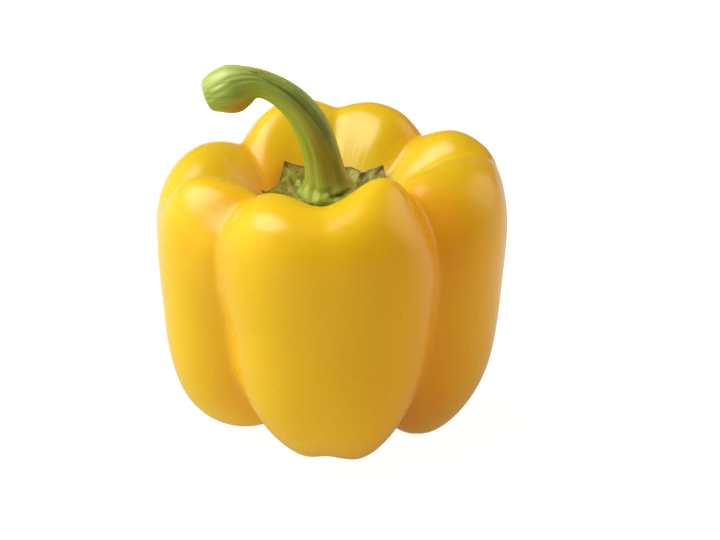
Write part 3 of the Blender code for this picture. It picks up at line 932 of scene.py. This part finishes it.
def light_scene():
    """A dim room with a few soft-edged glows round it, the brightest one high on the left."""
    world = bpy.data.worlds.new("room")
    bpy.context.scene.world = world
    world.use_nodes = True
    tree = world.node_tree
    background = tree.nodes["Background"]
    direction = tree.nodes.new("ShaderNodeTexCoord").outputs["Generated"]
    total = tree.nodes.new("ShaderNodeRGB").outputs["Color"]
    total.default_value = (*ROOM_COLOUR, 1.0)
    for glow in GLOWS:
        a, e = math.radians(glow.azimuth), math.radians(glow.elevation)
        middle = (math.sin(a) * math.cos(e), -math.cos(a) * math.cos(e), math.sin(e))
        towards = tree.nodes.new("ShaderNodeVectorMath")
        towards.operation = "DOT_PRODUCT"
        tree.links.new(direction, towards.inputs[0])
        towards.inputs[1].default_value = middle
        near = tree.nodes.new("ShaderNodeMapRange")
        near.interpolation_type = "SMOOTHSTEP"
        tree.links.new(towards.outputs["Value"], near.inputs["Value"])
        near.inputs["From Min"].default_value = math.cos(math.radians(glow.edge))
        near.inputs["From Max"].default_value = math.cos(math.radians(glow.core))
        lit = tree.nodes.new("ShaderNodeVectorMath")
        lit.operation = "MULTIPLY_ADD"
        tree.links.new(near.outputs["Result"], lit.inputs[0])
        lit.inputs[1].default_value = tuple(glow.radiance * part for part in glow.colour)
        tree.links.new(total, lit.inputs[2])
        total = lit.outputs["Vector"]
    tree.links.new(total, background.inputs["Color"])
    background.inputs["Strength"].default_value = 1.0


def lay_floor():
    """A plain white floor. What the camera sees of it is brighter than what lights the pepper."""
    side, level = FLOOR_HALF_SIDE, -FLOOR_GAP
    corners = [(-side, -side, level), (side, -side, level), (side, side, level), (-side, side, level)]
    mesh = bpy.data.meshes.new("floor")
    mesh.from_pydata(corners, [], [(0, 1, 2, 3)])
    floor = bpy.data.objects.new("floor", mesh)
    bpy.context.scene.collection.objects.link(floor)
    n = Nodes("floor_white")
    rays = n.add("ShaderNodeLightPath").outputs
    place = n.add("ShaderNodeSeparateXYZ")
    n.set(place.inputs["Vector"], n.add("ShaderNodeTexCoord").outputs["Object"])
    mirrored = n.between(
        place.outputs["Y"], FLOOR_MIRRORED_FROM, FLOOR_MIRRORED_TO, FLOOR_MIRRORED_NEAR, FLOOR_MIRRORED_FAR
    )
    to_right = n.between(place.outputs["X"], -FLOOR_LIGHT_REACH, FLOOR_LIGHT_REACH)
    light = n.mix(to_right, FLOOR_LIGHT_LEFT, FLOOR_LIGHT_RIGHT)
    lit = n.mix(rays["Is Glossy Ray"], light, mirrored)
    seen = n.mix(rays["Is Camera Ray"], lit, (FLOOR_SEEN,) * 3)
    n.set(n.shader.inputs["Emission Color"], seen)
    n.shader.inputs["Emission Strength"].default_value = 1.0
    n.shader.inputs["Base Color"].default_value = (FLOOR_SHADE,) * 3 + (1.0,)
    n.shader.inputs["Roughness"].default_value = 0.9
    n.shader.inputs["Specular IOR Level"].default_value = 0.0
    mesh.materials.append(n.material)


def place_camera(foot):
    """The camera that sees the foot of the outline's axis at its pixel, with no shift."""
    e = math.radians(VIEW_ELEVATION)
    back = Vector((0, -math.cos(e), math.sin(e)))
    focal_pixels = PIXELS_PER_MM / MM * CAMERA_DISTANCE_M
    camera = bpy.data.cameras.new("camera")
    camera.sensor_width = SENSOR_WIDTH
    camera.lens = focal_pixels / PHOTO_WIDTH * SENSOR_WIDTH
    camera.clip_start = 0.01
    camera.clip_end = 100
    holder = bpy.data.objects.new("camera", camera)
    holder.rotation_mode = "QUATERNION"
    holder.rotation_quaternion = (-back).to_track_quat("-Z", "Y")
    right = Vector((1, 0, 0))
    up = back.cross(right)
    metres_per_pixel = CAMERA_DISTANCE_M / focal_pixels
    across = (AXIS_PIXEL[0] - PHOTO_WIDTH / 2) * metres_per_pixel
    upward = (PHOTO_HEIGHT / 2 - AXIS_PIXEL[1]) * metres_per_pixel
    holder.location = foot + back * CAMERA_DISTANCE_M - right * across - up * upward
    bpy.context.scene.collection.objects.link(holder)
    bpy.context.scene.camera = holder


fruit, fruit_marks = fruit_rows()
low, high = (np.array(corner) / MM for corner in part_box("fruit"))
middle = (fruit.min(axis=(0, 1)) + fruit.max(axis=(0, 1))) / 2
move = (low + high) / 2 - middle
move[2] = -STANDING_LEVEL
add_piece("pepper_fruit", fruit + move, fruit_marks, skin_material(), "fruit")
calyx, calyx_marks = calyx_rows()
add_piece("pepper_calyx", calyx + move, calyx_marks, calyx_material(), "calyx")
stem, stem_marks = stem_rows()
add_piece("pepper_stem", stem + move, stem_marks, stem_material(), "stem")
lay_floor()
light_scene()
place_camera(Vector(move) * MM)
bpy.context.scene.view_settings.view_transform = "Standard"
